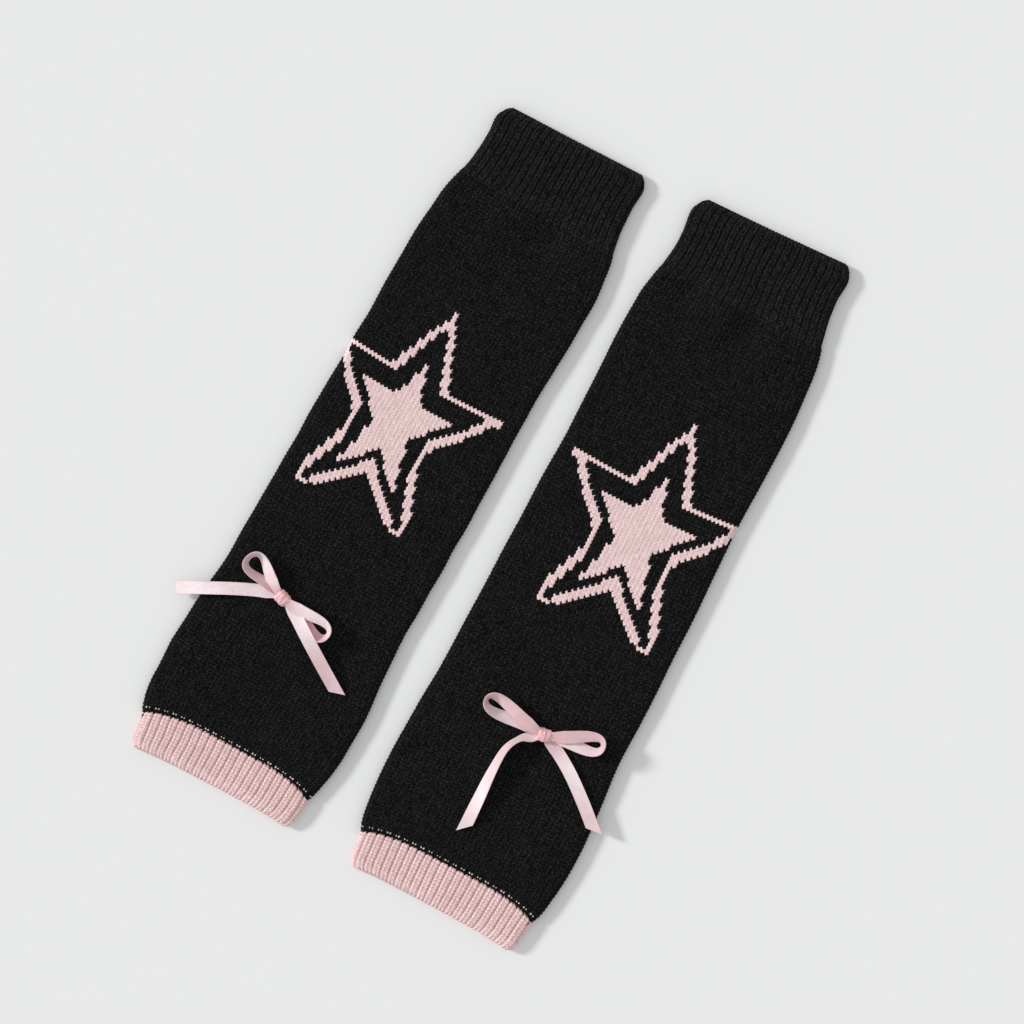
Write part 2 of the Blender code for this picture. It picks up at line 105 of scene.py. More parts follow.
RIGHT_BODY = [Ring(*row) for row in (
    (19.4, 53.3, -0.6, 6.2, -0.8), (26, 55.4, -0.4, 5, -0.7), (35, 56.9, -0.3, 3.4, -0.5),
    (48, 58.1, -0.1, 1.5, -0.3), (62, 58.4, 0, 0.4, -0.1), (80, 57.8, -0.3), (98, 57, -0.5),
    (114, 55.7, -0.6), (140, 55.5, -0.2), (175, 55.1, -0.1), (210, 54.5, 0, 0, 0.1),
    (240, 53.9, -0.3, 0, 0.4), (262, 53.4, 0, 0, 0.6), (285, 53.6, 0.1, 0, 0.3), (308, 53.9, 0.3),
    (328, 53.8, 0.1), (341, 53.2, -0.1), (350, 52.6, -0.2), (358, 51.3, -0.1), (366.3, 49.4, -0.3))]
RIGHT_CUFF = [Ring(*row) for row in (
    (366.3, 49.3, -0.3), (373, 47.9, -0.4, 0, 0.1), (380, 46.6, -0.9, 0, 0.4),
    (390, 46, -1.3, 0, 1), (407.4, 46, -1.4, 0, 1.6), (411.8, 43.9, -1.2, -0.4, 1.7))]

# The solids' soft folds, and after them those that only the cloth has.
LEFT_FOLDS = [Fold(*row) for row in (
    (-12, 334, 8, 26, 4, 0.9), (-27, 353, 10, 8, 0, -1), (12, 347, 10, 14, 0, -1.1),
    (-20, 62, 14, 20, 0, 0.6), (-3, 84, 7, 26, 30, -0.6), (9, 36, 6, 13, -14, -1),
    (24, 350, 18, 4, -6, -0.4), (30, 322, 7, 22, 10, 0.3), (-38, 330, 5, 20, -8, 0.3),
    (34, 60, 6, 18, 12, 0.3), (0, 352, 7, 10, 0, 1.3), (17, 347, 7, 11, 0, -1.5),
    (-24, 346, 7, 12, 12, -0.9))]
RIGHT_FOLDS = [Fold(*row) for row in (
    (9.5, 350, 7, 18, -10, -1.2), (-30, 362, 10, 7, 0, -0.8), (-6, 348, 8, 16, 0, 0.7),
    (41, 215, 8, 42, 0, 0.5), (-18, 62, 16, 22, 0, 0.4), (20, 46, 8, 16, -14, -0.6),
    (27, 352, 8, 14, 14, 0.3), (-36, 335, 6, 20, -6, 0.3), (-8, 40, 5, 12, 8, -0.3),
    (40, 62, 6, 18, 10, 0.3), (12, 358, 7, 11, 0, -1.5), (-2, 358, 6, 10, 0, 1.2),
    (-27, 362, 6, 10, 0, -1.3), (-38, 360, 5, 12, 0, 0.8))]

# The ribbons keep close to their solids' paths, but have rolls and painted shades of their own.
# A loop at even steps round it: roll in degrees, height over the front, and painted shade.
OPEN_TWIST = [
    (-4, 3.7, 0.4), (-34, 4.6, 0), (-62, 5.4, 0.05), (-72, 5, 0.3), (-64, 4.6, 0.35),
    (-48, 3.8, 0.6), (-12, 2.6, 1)]
FLAT_TWIST = [
    (0, 3.9, 0.75), (-18, 4.9, 0.55), (-48, 5.4, 0.5), (-72, 4.8, 0.45), (-54, 4, 0.2),
    (-24, 2.7, 0.15), (-4, 2, 0.5)]
CROSSED_TWIST = [
    (0, 4, 0.4), (-30, 5, 0), (-56, 5.4, 0.1), (-70, 4.7, 0.3), (-44, 2.9, 0.8), (-10, 1.5, 0.8),
    (-2, 1.2, 0.8)]

LEFT_KNOT = Knot(-15.4, 109.4, -14)
LEFT_LOOPS = {
    "loop_a": Loop(158, 28.4, 5.3, -1, OPEN_TWIST),
    "loop_b": Loop(-10.5, 31.8, 4.4, 1, CROSSED_TWIST),
}
# Each tail: how far its left edge is cut longer than its right one, and its stations, each
# with its place across and along, its lift over the front, its roll in degrees and its painted
# shade.
LEFT_TAILS = {
    "tail_a": (0, [
        (-21, 109.2, 0.4, 0, 0.2), (-30, 105.8, 0.5, 0, 0), (-42, 100, 1.2, 4, 0.1),
        (-55, 93, 0.8, 4, 0), (-68.7, 85.6, -2.4, 0, 0.05)]),
    "tail_b": (6, [
        (-9.7, 107.7, 1.9, 0, 0.15), (-3, 103.7, 2.9, 0, 0), (7, 97.3, 5, 0, 0.1),
        (20, 89, 3.7, 0, 0.45), (35.6, 79.2, 0.4, 0, 0.45)]),
}
RIGHT_KNOT = Knot(11, 112.4, 8)
RIGHT_LOOPS = {
    "loop_a": Loop(175, 36.8, 4.1, -1, FLAT_TWIST),
    "loop_b": Loop(16.5, 32.4, 4.2, 1, FLAT_TWIST),
}
RIGHT_TAILS = {
    "tail_a": (-6.4, [
        (5.6, 108.4, 0.4, 36, 0.3), (0, 104.4, 0.6, 68, 0.35), (-4.2, 96, 1.2, 62, 0.35),
        (-5, 82, 1.2, 48, 0.25), (-4.6, 66, 0.8, 26, 0.15), (-4.2, 48, 0.4, 4, 0.15)]),
    "tail_b": (6.4, [
        (15.6, 109.8, 0.4, 0, 0.45), (22, 107.2, 0.5, 0, 0.4), (33, 100.2, 1.6, 0, 0),
        (46, 89.8, 1.4, 0, 0.25), (58.8, 78.4, 0.4, 0, 0.35)]),
}

# The stitch at the middle of the star: its wale and row, and how far, in wales, all the wales
# of its leg warmer are moved to the right, so that this one lies on the star's middle line.
# The row's height is that of one row of plain stitches.
StarStitch = namedtuple("StarStitch", "wale row wales_moved row_height")
LEFT_STAR = StarStitch(21, 95, -0.40, 2.15)
RIGHT_STAR = StarStitch(27, 97, 0.38, 2.19)

LegWarmer = namedtuple("LegWarmer", "name hem body cuff folds knot loops tails star turn")
PAIR = (
    LegWarmer("left", LEFT_HEM, LEFT_BODY, LEFT_CUFF, LEFT_FOLDS,
              LEFT_KNOT, LEFT_LOOPS, LEFT_TAILS, LEFT_STAR, LEFT_TURN),
    LegWarmer("right", RIGHT_HEM, RIGHT_BODY, RIGHT_CUFF, RIGHT_FOLDS,
              RIGHT_KNOT, RIGHT_LOOPS, RIGHT_TAILS, RIGHT_STAR, RIGHT_TURN),
)

# ---- the knit's own sizes ----
RIB_ROW = 1.65  # height of one row of stitches in the ribs
ROW_BEND = 2.4  # how far the rows at the star's arms rise towards the two folds
ROW_BEND_ALONG = 262.0
ROW_BEND_REACH = 45.0
FRONT_WALES = 50  # over the front and both folded edges
UNDER_WALES = 40
FRONT_RIBS = 25
UNDER_RIBS = 20
SLANT = 0.55  # how far a leg climbs over half a wale, in rows
WALE_DEPTH = 0.38  # of the furrow between two wales
ROW_DEPTH = 0.46  # of the furrow between two strands in a wale
RIB_ROW_DEPTH = 0.32
TOOTH = 0.12  # how far a furrow sways to each side within a row, in wales
UNEVEN = 0.05  # how much stitches stand out or in by chance
COLUMN_SHADE = 0.55  # how much painted shade a furrow between wales gets beside a strand
ROW_SHADE = 0.85  # and how much one between strands gets
EDGE_SHADE = 0.5  # how much less painted shade both get at a free edge
RIB_FURROW = 0.25  # how much deeper the furrow between ribs is than on the solid
BODY_RIB = 0.55  # the ribs' furrows run on into the body, this deep at its end
BODY_RIB_FADE = 9.0  # and fade over this distance
CUFF_FADE = 16.0  # the stretch of the cuff over which its ribs rise from the body
CUFF_STEP = 0.45  # height of the ribs over the tube's own wall where the cuff begins
INNER_ROWS = 10
RIM_STEPS = 3
RIM_PAINTED_SHADE = 0.4  # painted shade on the rims and the inner skin, as a furrow's share
HEM_OVERLAP = 3.2  # how far the body runs under the hem's rib ends
CUFF_OVERLAP = 1.2
RIB_END_CURVE = 3.2  # the stretch over which a rib's end is rounded
HEM_END_DIP = 0.4  # how far the ribs go down at their seam
CUFF_END_DIP = 0.5
END_DIP_REACH = 1.2  # the stretch over which they do
EDGE_KNOB = 0.9  # how far a wale stands out past the furrow beside it at a free edge
KNOB_REACH = 2.5  # the stretch over which it does
EDGE_FILLING = 0.35  # how much of a furrow is filled at a free edge
EDGE_FILLING_REACH = 4.0
UNDER_FURROW = 0.3  # depth of a furrow between the ribs of the underside
EDGE_REACH = 5.0  # the stretch from a free edge over which the tube grows thin
CORNER_RADIUS = 2.2  # of a free edge's round corners
CORNER_REACH = 10.0  # the stretch from the edge over which the rows bend for them
HEM_DIP = 0.6  # how far the body sinks where it runs under the hem
HEM_LEVEL = 1.92  # the stretch over which it stays that deep
HEM_SIDE_DIP = 1.3  # and how much farther at the two folded edges
HEM_SIDE = 0.08  # the share of the front, from a fold, over which it does
SEAM_FURROW = 0.35  # how much deeper the hem's furrows are at the seam
SWAY_HEIGHT, SWAY_LENGTH = 0.12, 34.0  # of the cloth's faint waves up and down
DRIFT_WIDTH, DRIFT_LENGTH = 0.16, 26.0  # and of those from side to side
WAVES = 5
WAVE_SUM = 2.2  # about the root of their number, which their sum is divided by

# Columns of the grid in a wale of plain knit: where each lies in it, and its share of a furrow.
Column = namedtuple("Column", "place depth")
PLAIN_WALE = [Column(*pair) for pair in ((0, 1), (0.25, 0), (0.5, 0.62), (0.75, 0))]
UNDER_WALE = [Column(0, 1), Column(0.5, 0)]
# The same in a rib: a furrow, a flank, and two strands with a crease between them.
RIB = [Column(*pair) for pair in (
    (0, 1), (0.07, 0.62), (0.16, 0.12), (0.28, 0), (0.41, 0.1), (0.5, 0.34), (0.59, 0.1),
    (0.72, 0), (0.84, 0.12), (0.93, 0.62))]
# And the steps of the grid within a row.
PLAIN_STEPS = [Column(0, 1), Column(0.5, 0)]
RIB_STEPS = [Column(0, 1), Column(0.34, 0.1), Column(0.67, 0.1)]


# ---- shader building ----

class Number:
    """A value that a material works out. Python's operators on it add Math nodes."""

    def __init__(self, shader, socket):
        self.shader = shader
        self.socket = socket

    def math(self, operation, first, second=0.0):
        return self.shader.node("ShaderNodeMath", {"operation": operation},
                                {0: first, 1: second})

    def __add__(self, other):
        return self.math("ADD", self, other)

    def __sub__(self, other):
        return self.math("SUBTRACT", self, other)

    def __rsub__(self, other):
        return self.math("SUBTRACT", other, self)

    def __mul__(self, other):
        return self.math("MULTIPLY", self, other)

    def sine(self):
        return self.math("SINE", self)

    def size(self):
        return self.math("ABSOLUTE", self)

    __radd__ = __add__
    __rmul__ = __mul__


class Shader:
    """A Principled material and the nodes that feed it."""

    def __init__(self, name, **constants):
        self.material = bpy.data.materials.new(name)
        self.material.use_nodes = True
        self.tree = self.material.node_tree
        self.surface = self.tree.nodes["Principled BSDF"]
        for socket, value in constants.items():
            self.surface.inputs[socket.replace("_", " ")].default_value = value

    def node(self, kind, settings, values, output=0):
        """A node of a kind: its settings first, then its sockets' values or links."""
        made = self.tree.nodes.new(kind)
        for name, value in settings.items():
            setattr(made, name, value)
        for name, value in values.items():
            if isinstance(value, Number):
                self.tree.links.new(value.socket, made.inputs[name])
            else:
                made.inputs[name].default_value = value
        return Number(self, made.outputs[output])

    def feed(self, socket, value):
        """Link a value that varies to one of the material's own sockets."""
        self.tree.links.new(value.socket, self.surface.inputs[socket])

    def mix(self, share, first, second):
        """The first colour where the share is 0, and the second where it is 1."""
        return self.node("ShaderNodeMix", {"data_type": "RGBA", "clamp_factor": True},
                         {0: share, 6: first, 7: second}, output=2)

    def attribute(self, name):
        return self.node("ShaderNodeAttribute", {"attribute_name": name}, {}, output=2)

    def object_place(self):
        return self.node("ShaderNodeTexCoord", {}, {}, output=3)

    def across_and_along(self, name):
        """The two numbers of a piece's own UV map."""
        uv = self.node("ShaderNodeUVMap", {"uv_map": name}, {})
        return (self.node("ShaderNodeSeparateXYZ", {}, {0: uv}, output=0),
                self.node("ShaderNodeSeparateXYZ", {}, {0: uv}, output=1))

    def noise(self, place, scale, detail=2.0, roughness=0.5):
        return self.node("ShaderNodeTexNoise", {"noise_dimensions": "3D"},
                         {"Vector": place, "Scale": scale, "Detail": detail,
                          "Roughness": roughness})

    def stretched(self, value, low, high, to_low=0.0, to_high=1.0):
        """The value's range from low to high, spread over another range and held in it."""
        return self.node("ShaderNodeMapRange", {"clamp": True},
                         {"Value": value, "From Min": low, "From Max": high,
                          "To Min": to_low, "To Max": to_high})

    def pair(self, across, along):
        """Two numbers as one place, for a pattern that they stretch."""
        return self.node("ShaderNodeCombineXYZ", {}, {0: across, 1: along})

    def paint(self, colour, brightness):
        """Give the material a colour, times a brightness that varies."""
        self.feed("Base Color", self.node("ShaderNodeHueSaturation", {},
                                          {"Color": colour, "Value": brightness}))

    def bump(self, height, strength, distance):
        raised = self.node("ShaderNodeBump", {}, {"Height": height, "Strength": strength,
                                                  "Distance": distance})
        self.feed("Normal", raised)


def linear(red, green, blue):
    """A colour given as screen values from 0 to 255, as the renderer's linear ones."""
    shares = [value / 255 for value in (red, green, blue)]
    return (*[share / 12.92 if share <= 0.04045 else ((share + 0.055) / 1.055) ** 2.4
              for share in shares], 1.0)


# A yarn's own colour, that of the loose fibres on it and the painted shade of the furrows
# between its stitches, and how far each of these two takes over.
Yarn = namedtuple("Yarn", "colour fibre furrow fibre_share furrow_share")
BLACK_YARN = Yarn(linear(5, 5, 5), linear(55, 55, 55), linear(3, 3, 3), 1.0, 0.85)
PINK_YARN = Yarn(linear(251, 221, 221), linear(255, 250, 249), linear(224, 170, 171), 0.95, 0.70)
# the star's pink yarn, painted darker as shade over the hem's deep ribs
SHADED_RIB_YARN = Yarn(linear(235, 200, 199), linear(253, 236, 234), linear(204, 142, 144), 0.90, 0.78)
PALE_YARN = linear(236, 228, 227)
SATIN = linear(243, 223, 227)
# the near-white of the satin's painted glints and sheen streaks
SATIN_SHINE = linear(255, 249, 250)
# the ribbon's duller back, also painted darker and pinker as shade on the loops' inner faces
SATIN_BACK_SHADED = linear(238, 184, 192)
# the knot's satin, painted darker and pinker as the shade among its folds
SATIN_FOLD_SHADE = linear(232, 161, 166)
SATIN_SHADE = linear(212, 152, 159)
SATIN_CREASE_SHADE = linear(188, 104, 113)
JOIN_SHADOW = linear(150, 140, 140)
SATIN_EDGE = linear(234, 194, 200)


def yarn_colour(shader, yarn, depth, fuzz, tone):
    """Yarn with painted shade down in its furrows, and paler loose fibres over it, thicker on
    some stitches than on others."""
    fibres = shader.stretched(fuzz + tone * 0.03, 0.42, 0.64, 0.0, yarn.fibre_share)
    lit = shader.mix(fibres, yarn.colour, yarn.fibre)
    return shader.mix(shader.stretched(depth, 0.2, 1.0, 0.0, yarn.furrow_share), lit, yarn.furrow)


def knit_material(name, yarn, pink_stitches):
    """Matte yarn, and pink yarn in the stitches where the piece's attribute says so."""
    shader = Shader(name, Roughness=0.92, Specular_IOR_Level=0.04, Sheen_Weight=0.02,
                    Sheen_Roughness=0.6, Sheen_Tint=(1.0, 1.0, 1.0, 1.0))
    place = shader.object_place()
    # the depth attribute is the share of painted furrow shade
    depth = shader.attribute("depth")
    tone = shader.attribute("tone")
    across, along = shader.across_and_along("stitches")
    fuzz = shader.noise(place, 1250.0, 3.0, 0.75)
    mottle = shader.noise(place, 330.0, 2.0)
    colour = yarn_colour(shader, yarn, depth, fuzz, tone)
    if pink_stitches:
        pink = yarn_colour(shader, PINK_YARN, depth, fuzz, tone)
        colour = shader.mix(shader.attribute("pink"), colour, pink)
    shade = shader.stretched(mottle, 0.3, 0.7, 0.96, 1.03) + tone * 0.05
    shader.paint(colour, shade)
    plies = ((along * 3.0 + across * 1.5) * (2 * pi)).sine()
    shader.bump(fuzz + plies * 0.18, 0.6, 0.0003)
    return shader.material


def satin_material(name, colour, roughness, sheen, creases):
    """Ribbon: threads too fine to count run along it, and its two edges are woven closer.

    Painted shade makes it pinker where it turns from the light, near the knot and down in its
    creases, and darker in broad patches; painted glints and sheen streaks make it paler in places.
    """
    shader = Shader(name, Specular_IOR_Level=0.42, Sheen_Weight=sheen, Sheen_Roughness=0.35,
                    Anisotropic=0.35)
    across, along = shader.across_and_along("ribbon")
    streak = shader.noise(shader.pair(across * 7.0, along * 0.09), 6.0, 3.0, 0.6)
    shade_patches = shader.noise(shader.object_place(), 120.0, 2.0)
    glint = shader.noise(shader.object_place(), 1300.0, 2.0, 0.6)
    edge = shader.stretched((across - 0.5).size(), 0.44, 0.47)
    # Painted sheen: glints and streaks along the weave, paler towards a near-white shine.
    pale = shader.mix(shader.stretched(streak * 0.4 + glint * 0.6, 0.42, 0.60, 0.0, 0.7),
                      colour, SATIN_SHINE)
    folds = shader.noise(shader.pair(across * 0.7, along * 0.8), 1.6, 2.0)
    # painted shade down in creases that a noise lays out; creases is its share
    painted_crease_shade = shader.stretched(folds, 0.48, 0.64, 0.0, creases)
    # painted shade, pinker, where the ribbon turns from the light and near the knot
    turned = shader.mix(shader.attribute("shade"), pale, SATIN_SHADE)
    shaded = shader.mix(painted_crease_shade, shader.mix(edge * 0.5, turned, SATIN_EDGE), SATIN_CREASE_SHADE)
    # broad random patches of painted shade, darker in some places and paler in others
    shader.paint(shaded, shader.stretched(shade_patches, 0.3, 0.7, 0.91, 1.03))
    shader.feed("Roughness", shader.stretched(streak, 0.2, 0.8, roughness, roughness + 0.14))
    shader.bump(streak * 0.5 + glint * 0.6 + edge * 0.5, 0.36, 0.0001)
    return shader.material


BLACK_KNIT = knit_material("black_knit_yarn", BLACK_YARN, True)
PINK_KNIT = knit_material("pink_knit_yarn", SHADED_RIB_YARN, False)
SATIN_FACE = satin_material("satin_face", SATIN, 0.36, 0.15, 0.0)
SATIN_REVERSE_SHADED = satin_material("satin_reverse_shaded", SATIN_BACK_SHADED, 0.46, 0.10, 0.1)
# The knot is painted darker all over, and more down in its creases, as shade among its folds.
SATIN_KNOT = satin_material("satin_knot", SATIN_FOLD_SHADE, 0.44, 0.12, 0.75)


# ---- meshes ----

def grid_piece(name, points, material, rows_meet=False, columns_meet=False, uv=None,
               face_values=None, point_values=None):
    """A surface from a grid of points in metres, with quads between neighbours.

    Where rows or columns meet, the last one joins the first. The map has a name, a value for
    each column's edge and one for each row's edge. Its faces look to the side from which the
    rows run ahead and the columns run to the right.
    """
    rows, columns = points.shape[:2]
    row_faces = rows if rows_meet else rows - 1
    column_faces = columns if columns_meet else columns - 1
    row, column = np.meshgrid(np.arange(row_faces), np.arange(column_faces), indexing="ij")
    next_row, next_column = (row + 1) % rows, (column + 1) % columns
    corners = np.stack([row * columns + column, row * columns + next_column,
                        next_row * columns + next_column, next_row * columns + column], axis=2)
    corners = corners.reshape(-1).astype(np.int32)
    mesh = bpy.data.meshes.new(name)
    mesh.vertices.add(rows * columns)
    mesh.vertices.foreach_set("co", points.reshape(-1).astype(np.float32))
    mesh.loops.add(len(corners))
    mesh.loops.foreach_set("vertex_index", corners)
    mesh.polygons.add(len(corners) // 4)
    mesh.polygons.foreach_set("loop_start", np.arange(0, len(corners), 4, dtype=np.int32))
    mesh.update(calc_edges=True)
    mesh.shade_smooth()
    if uv:
        map_name, by_column, by_row = uv
        sides = [by_column[edge] for edge in (column, column + 1, column + 1, column)]
        ends = [by_row[edge] for edge in (row, row, row + 1, row + 1)]
        where = np.stack([np.stack(sides, axis=2), np.stack(ends, axis=2)], axis=3)
        layer = mesh.uv_layers.new(name=map_name)
        layer.data.foreach_set("uv", where.reshape(-1).astype(np.float32))
    for values, domain in ((face_values, "FACE"), (point_values, "POINT")):
        for label, numbers in (values or {}).items():
            attribute = mesh.attributes.new(label, "FLOAT", domain)
            attribute.data.foreach_set("value", numbers.reshape(-1).astype(np.float32))
    mesh.materials.append(material)
    piece = bpy.data.objects.new(name, mesh)
    bpy.context.scene.collection.objects.link(piece)
    return piece


def curve_through(at, places, values):
    """A smooth curve through values at their places, flat beyond the first and the last.

    Between two places it is the cubic that has, at each, the mean of the two slopes there.
    """
    at = np.clip(at, places[0], places[-1])
    slopes = np.gradient(values, places)
    left = np.clip(np.searchsorted(places, at, side="right") - 1, 0, len(places) - 2)
    gap = places[left + 1] - places[left]
    share = (at - places[left]) / gap
    rest = 1 - share
    return (values[left] * (1 + 2 * share) * rest ** 2
            + values[left + 1] * (3 - 2 * share) * share ** 2
            + gap * share * rest * (slopes[left] * rest - slopes[left + 1] * share))


def ease(share):
    """A step from 0 to 1 that starts and ends level."""
    share = np.clip(share, 0.0, 1.0)
    return share * share * (3 - 2 * share)


def near(distance, reach):
    """How near a place is: 1 at no distance, and eased down to 0 at the reach."""
    return 1 - ease(distance / reach)


def smooth_columns(rows, count):
    """A table's columns, read at count stations along smooth curves through its rows."""
    table = np.array(rows, dtype=float)
    stations = np.linspace(0, len(table) - 1, count)
    return [curve_through(stations, np.arange(len(table)), column) for column in table.T]


def table_curves(table, at):
    """A table of rings read at places along the tube: half width, middle, lead and skew."""
    along, *columns = np.array(table, dtype=float).T
    return [curve_through(at, along, column) for column in columns]


def fold_rise(folds, across, along):
    """How far the front is raised or sunk by its soft folds, each a bell over its reach."""
    rise = np.zeros(np.broadcast(across, along).shape)
    for fold in folds:
        turn = radians(fold.turn)
        right = (across - fold.across) * cos(turn) + (along - fold.along) * sin(turn)
        ahead = (along - fold.along) * cos(turn) - (across - fold.across) * sin(turn)
        rise += fold.rise * np.exp(-(right / fold.reach_across) ** 2
                                   - (ahead / fold.reach_along) ** 2)
    return rise


def hem_place(warmer):
    """Where the middle of a hem's edge lies, the origin of its leg warmer's own frame. It is
    worked out from the knot's solid, whose middle is known."""
    low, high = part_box(warmer.name + "_bow_knot")
    middle = (low + high) / 2
    knot = Vector((warmer.knot.across, warmer.knot.along, 0))
    turned = Matrix.Rotation(warmer.turn, 3, "Z") @ knot * MM
    return Vector((middle.x - turned.x, middle.y - turned.y, 0))


def placed(warmer, points):
    """Points of a leg warmer's own frame in millimetres, in the row frame in metres."""
    turn, place = warmer.turn, hem_place(warmer)
    x = points[..., 0] * cos(turn) - points[..., 1] * sin(turn)
    y = points[..., 0] * sin(turn) + points[..., 1] * cos(turn)
    return np.stack([x, y, points[..., 2]], axis=-1) * MM + np.array(place)


# ---- the knitted tubes ----

def flattened_ring(share, half_width, low, high, reach):
    """Points x, z round a flattened ring and its outward directions.

    Shares from 0 to 1 run from the underside's left end up over the left fold, across the
    front and down the right fold, and shares from 1 to 2 back along the underside. A fold is
    half an ellipse.
    """
    half_height = (high - low) / 2
    fold_length = pi * ((reach ** 2 + half_height ** 2) / 2) ** 0.5
    flat = half_width - reach
    whole = 2 * fold_length + 2 * flat
    distance = np.minimum(share, 1.0) * whole
    from_end = np.minimum(distance, whole - distance)
    side = np.where(share < 0.5, -1.0, 1.0)
    angle = pi * np.minimum(from_end / fold_length, 1.0) - pi / 2
    over = from_end >= fold_length
    x = np.where(over, distance - fold_length - flat, side * (flat + reach * np.cos(angle)))
    z = np.where(over, high, low + half_height * (1 + np.sin(angle)))
    out_x = np.where(over, 0.0, side * np.cos(angle))
    out_z = np.where(over, 1.0, np.sin(angle))
    under = share > 1.0
    x = np.where(under, flat * (3 - 2 * share), x)
    return (x, np.where(under, low, z), np.where(under, 0.0, out_x),
            np.where(under, -1.0, out_z))


def knit_columns(front_pattern, front_count, under_count, moved):
    """The grid's columns round a tube: share, place in wales or ribs, leg, slant and depth.

    A rib is two wales wide. All the columns are moved round the tube by a share of its front.
    The front's columns are numbered by the leg of a stitch that they lie in, for its tone.
    """
    share, wale, leg, slant, depth = [], [], [], [], []
    for count, pattern, start in ((front_count, front_pattern, 0.0),
                                  (under_count, UNDER_WALE, 1.0)):
        for number in range(count):
            for column in pattern:
                share.append((start + (number + column.place) / count + moved) % 2)
                wale.append(number + column.place + start * front_count)
                wales = column.place * FRONT_WALES / front_count
                wales_before = number * FRONT_WALES / front_count
                leg.append(len(leg) if start else int(2 * (wales_before + wales)))
                slant.append(0.0 if start else abs(2 * (wales % 1) - 1) - 0.5)
                depth.append(column.depth)
    return [np.array(values) for values in (share, wale, leg, slant, depth)]


def knit_rows(start, end, height, steps):
    """The grid's outer rows from start to end: distance, place in rows, depth, and one pitch."""
    count = round((end - start) / height)
    pitch = (end - start) / count
    places = [(number + step.place, step.depth) for number in range(count) for step in steps]
    row, depth = np.array(places + [(count, 1.0)]).T
    return start + row * pitch, row, depth, pitch


def wobble(across, along, height, wave):
    """A faint unevenness: waves of a few directions and lengths, added up."""
    total = np.zeros(np.broadcast(across, along).shape)
    for _ in range(WAVES):
        heading, length = chance.uniform(0, pi), wave * chance.uniform(0.6, 1.6)
        phase = chance.uniform(0, 2 * pi)
        total += np.sin(2 * pi * (across * cos(heading) + along * sin(heading)) / length + phase)
    return total * height / WAVE_SUM


def row_ahead(x, half_width, lead, skew):
    """How far a row of stitches runs ahead at x: its lead times 1 less the fourth power of the
    way aside, and its skew times that way, from -1 at the left fold to 1 at the right one."""
    aside = np.minimum(1.0, np.abs(x) / half_width)
    return lead * (1 - aside ** LEAD_POWER) + skew * x / half_width


